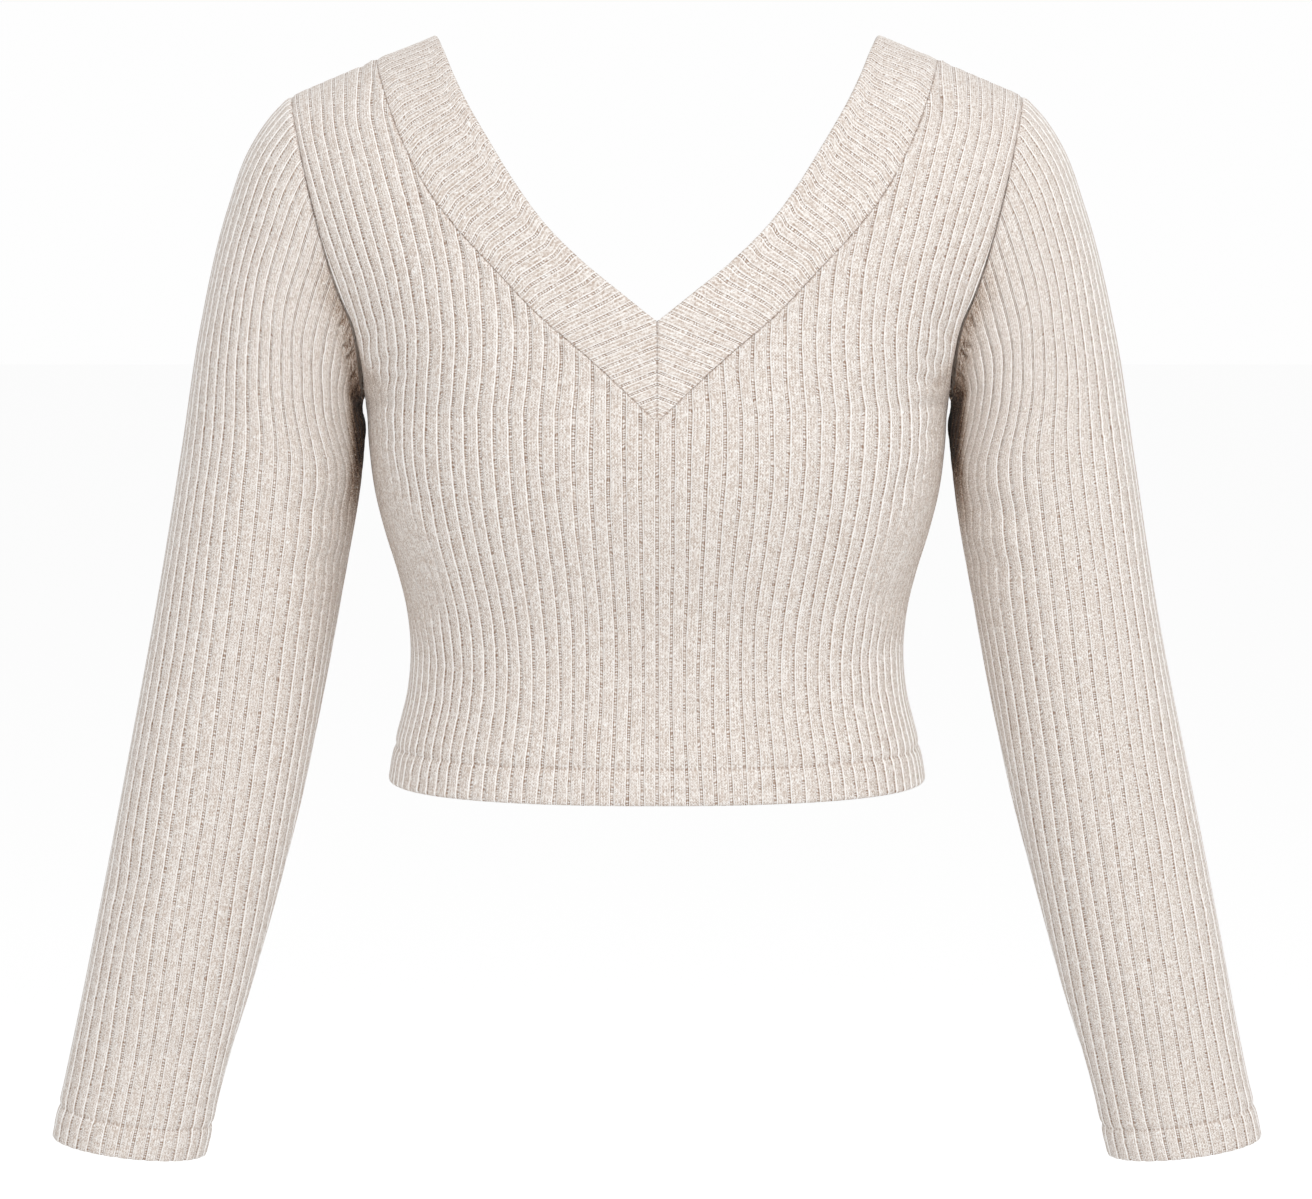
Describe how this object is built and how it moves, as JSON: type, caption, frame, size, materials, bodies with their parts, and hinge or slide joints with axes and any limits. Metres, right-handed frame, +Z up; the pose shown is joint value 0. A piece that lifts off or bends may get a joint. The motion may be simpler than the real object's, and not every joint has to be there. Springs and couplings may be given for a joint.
{
  "type": "cropped rib-knit v-neck sweater, filled out with no wearer",
  "caption": "Cropped rib-knit pullover with a deep V neckband front and back and long set-in sleeves, standing hollow and open as if worn.",
  "frame": {"origin": "midway between the two points where the shoulders meet the neck opening", "axes": "+Z up, -Y the way the garment faces, +X to the wearer's left"},
  "size_m": [0.6614, 0.2239, 0.6075],
  "materials": {
    "rib_knit": "matte heather oatmeal rib knit",
    "neckband_knit": "matte heather oatmeal rib knit, double"
  },
  "bodies": {
    "root": {"front": "rib_knit", "back": "rib_knit", "sleeve_right": "rib_knit", "sleeve_left": "rib_knit", "neckband_right": "neckband_knit", "neckband_left": "neckband_knit"}
  },
  "joints": []
}
